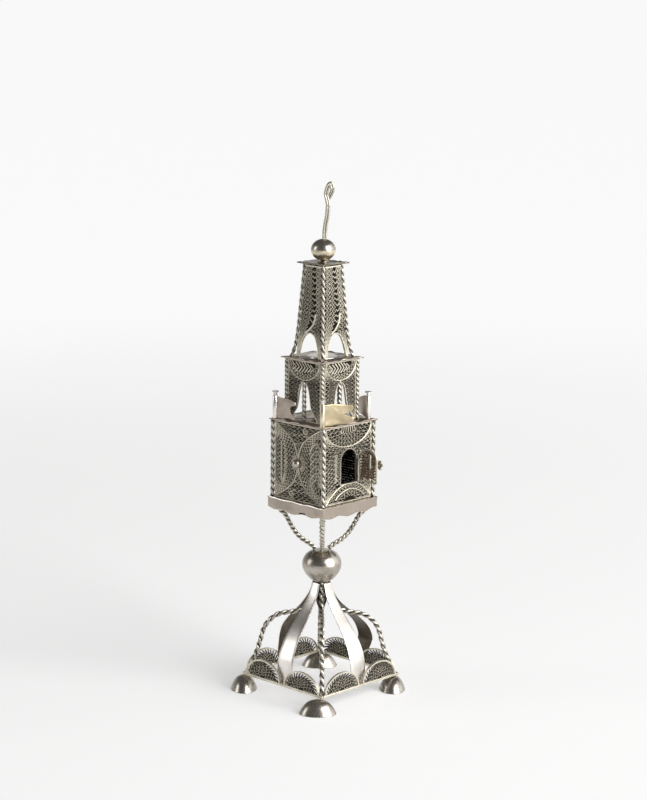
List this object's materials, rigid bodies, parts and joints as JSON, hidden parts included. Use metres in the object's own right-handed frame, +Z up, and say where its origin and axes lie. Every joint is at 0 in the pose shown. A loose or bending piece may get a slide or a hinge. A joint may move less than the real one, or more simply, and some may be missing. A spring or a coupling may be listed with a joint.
{
  "type": "spice tower",
  "caption": "Silver filigree spice tower: a square box with a hinged, latched door and turning flags, under a belfry and spire, on an arched wire base.",
  "frame": {"origin": "on the table, under the middle of the four feet", "axes": "+Z up along the tower; the door side faces -Y and its hinge is on the +X side of the doorway"},
  "size_m": [0.0618, 0.0594, 0.2202],
  "materials": {
    "sheet_silver": "aged, polished by hand",
    "wire_silver": "twisted wire, tarnished in the grooves",
    "filigree_silver": "open wire work, tarnished",
    "gilt_silver": "worn gilding on silver"
  },
  "bodies": {
    "tower": {"ball_lower": "gilt_silver", "ball_upper": "sheet_silver", "base_rail_back": "filigree_silver", "base_rail_front": "filigree_silver", "base_rail_left": "filigree_silver", "base_rail_right": "filigree_silver", "base_rib_back_left": "wire_silver", "base_rib_back_right": "wire_silver", "base_rib_front_left": "wire_silver", "base_rib_front_right": "wire_silver", "base_strap_back": "sheet_silver", "base_strap_front": "sheet_silver", "base_strap_left": "sheet_silver", "base_strap_right": "sheet_silver", "belfry_panel_back": "filigree_silver", "belfry_panel_front": "filigree_silver", "belfry_panel_left": "filigree_silver", "belfry_panel_right": "filigree_silver", "belfry_plate": "sheet_silver", "belfry_wire_back_left": "wire_silver", "belfry_wire_back_right": "wire_silver", "belfry_wire_front_left": "wire_silver", "belfry_wire_front_right": "wire_silver", "box_panel_back": "filigree_silver", "box_panel_front": "filigree_silver", "box_panel_left": "filigree_silver", "box_panel_right": "filigree_silver", "box_wire_back_left": "wire_silver", "box_wire_back_right": "wire_silver", "box_wire_front_left": "wire_silver", "box_wire_front_right": "wire_silver", "bracket_back_left": "wire_silver", "bracket_back_right": "wire_silver", "bracket_front_left": "wire_silver", "bracket_front_right": "wire_silver", "door_pin": "sheet_silver", "foot_back_left": "sheet_silver", "foot_back_right": "sheet_silver", "foot_front_left": "sheet_silver", "foot_front_right": "sheet_silver", "hanging_wire": "wire_silver", "knop_lower": "sheet_silver", "knop_upper": "sheet_silver", "roof_plate": "sheet_silver", "spire_panel_back": "filigree_silver", "spire_panel_front": "filigree_silver", "spire_panel_left": "filigree_silver", "spire_panel_right": "filigree_silver", "spire_plate": "sheet_silver", "spire_wire_back_left": "wire_silver", "spire_wire_back_right": "wire_silver", "spire_wire_front_left": "wire_silver", "spire_wire_front_right": "wire_silver", "tray": "sheet_silver"},
    "front_left_flag": {"flag_front_left": "gilt_silver"},
    "front_right_flag": {"flag_front_right": "sheet_silver"},
    "back_right_flag": {"flag_back_right": "sheet_silver"},
    "back_left_flag": {"flag_back_left": "sheet_silver"},
    "door": {"door_leaf": "filigree_silver"},
    "latch": {"door_latch": "gilt_silver"}
  },
  "joints": [
    {"name": "door_hinge", "type": "hinge", "parent": "tower", "child": "door", "pos_m": [0.00525, -0.0159, 0.0989], "axis": [0, 0, 1], "range_deg": [-94, 40]},
    {"name": "latch_turn", "type": "hinge", "parent": "door", "child": "latch", "pos_m": [0.00579, -0.02368, 0.1016], "axis": [0.9976, 0.0698, 0], "range_deg": [0, 90]},
    {"name": "front_left_flag_turn", "type": "hinge", "parent": "tower", "child": "front_left_flag", "pos_m": [-0.0144, -0.0134, 0.125], "axis": [0, 0, 1], "range_deg": [-251, 33]},
    {"name": "front_right_flag_turn", "type": "hinge", "parent": "tower", "child": "front_right_flag", "pos_m": [0.0134, -0.0134, 0.125], "axis": [0, 0, 1], "range_deg": [-250, 34]},
    {"name": "back_right_flag_turn", "type": "hinge", "parent": "tower", "child": "back_right_flag", "pos_m": [0.0134, 0.0144, 0.125], "axis": [0, 0, 1], "range_deg": [-142, 142]},
    {"name": "back_left_flag_turn", "type": "hinge", "parent": "tower", "child": "back_left_flag", "pos_m": [-0.0144, 0.0144, 0.125], "axis": [0, 0, 1], "range_deg": [-270, 14]}
  ]
}
